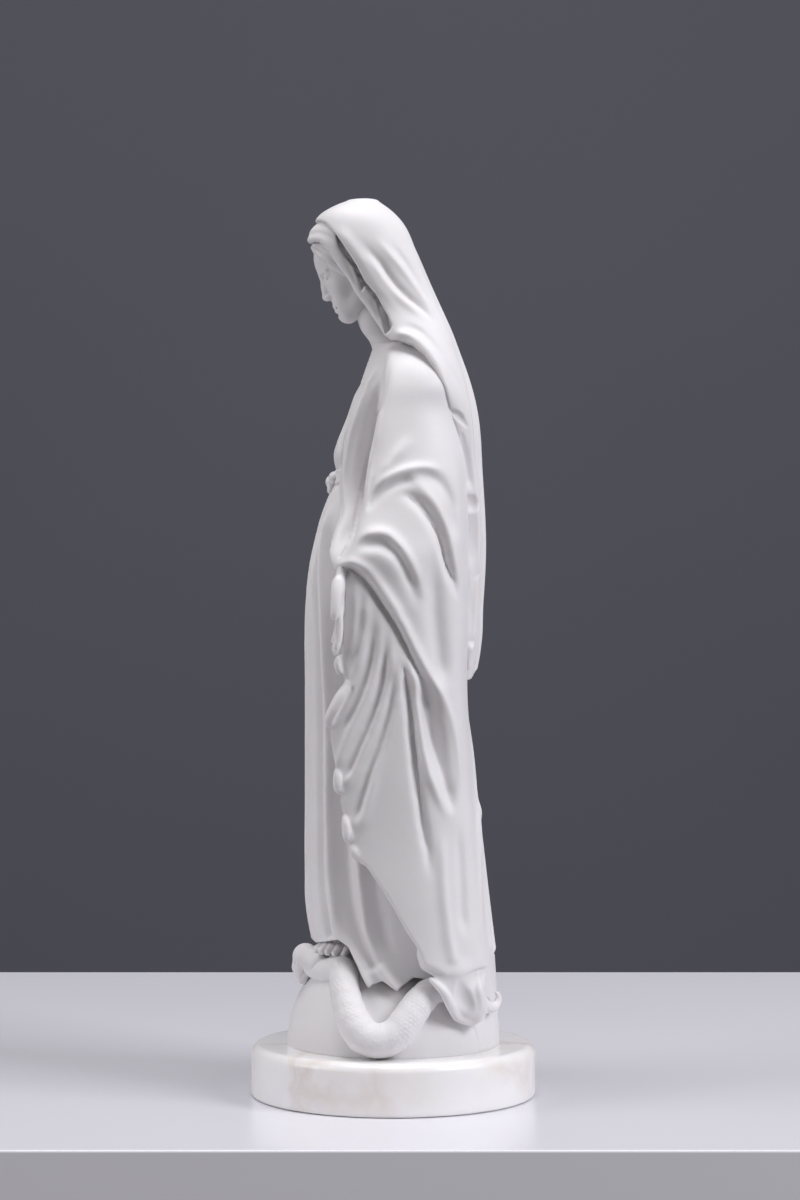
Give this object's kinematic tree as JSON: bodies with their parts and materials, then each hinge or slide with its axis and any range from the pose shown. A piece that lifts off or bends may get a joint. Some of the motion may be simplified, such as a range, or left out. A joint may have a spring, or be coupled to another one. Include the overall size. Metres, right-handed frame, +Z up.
{
  "type": "madonna statue",
  "caption": "Standing veiled woman with lowered open hands on a globe with a serpent, screwed to a turned stone disc with a felt pad.",
  "frame": {"origin": "centre of the plinth's underside, on the table", "axes": "+Z up through the figure, -Y the way the figure faces, +X towards the figure's left hand"},
  "size_m": [0.1, 0.1, 0.3145],
  "materials": {
    "cast_stone": "matte bonded marble",
    "alabaster": "polished, veined",
    "felt": "felt",
    "steel": "zinc plated",
    "brass": "turned"
  },
  "bodies": {
    "root": {"felt_pad": "felt", "fixing_screw": "steel", "screw_washer": "steel", "threaded_insert": "brass", "plinth": "alabaster", "globe": "cast_stone", "serpent_body": "cast_stone", "serpent_head": "cast_stone", "serpent_tail": "cast_stone", "left_foot": "cast_stone", "right_foot": "cast_stone", "rear_support": "cast_stone", "robe": "cast_stone", "sash": "cast_stone", "sash_knot": "cast_stone", "left_sleeve": "cast_stone", "right_sleeve": "cast_stone", "left_hand": "cast_stone", "right_hand": "cast_stone", "mantle": "cast_stone", "neck": "cast_stone", "head": "cast_stone", "kerchief": "cast_stone", "veil": "cast_stone"}
  },
  "joints": []
}
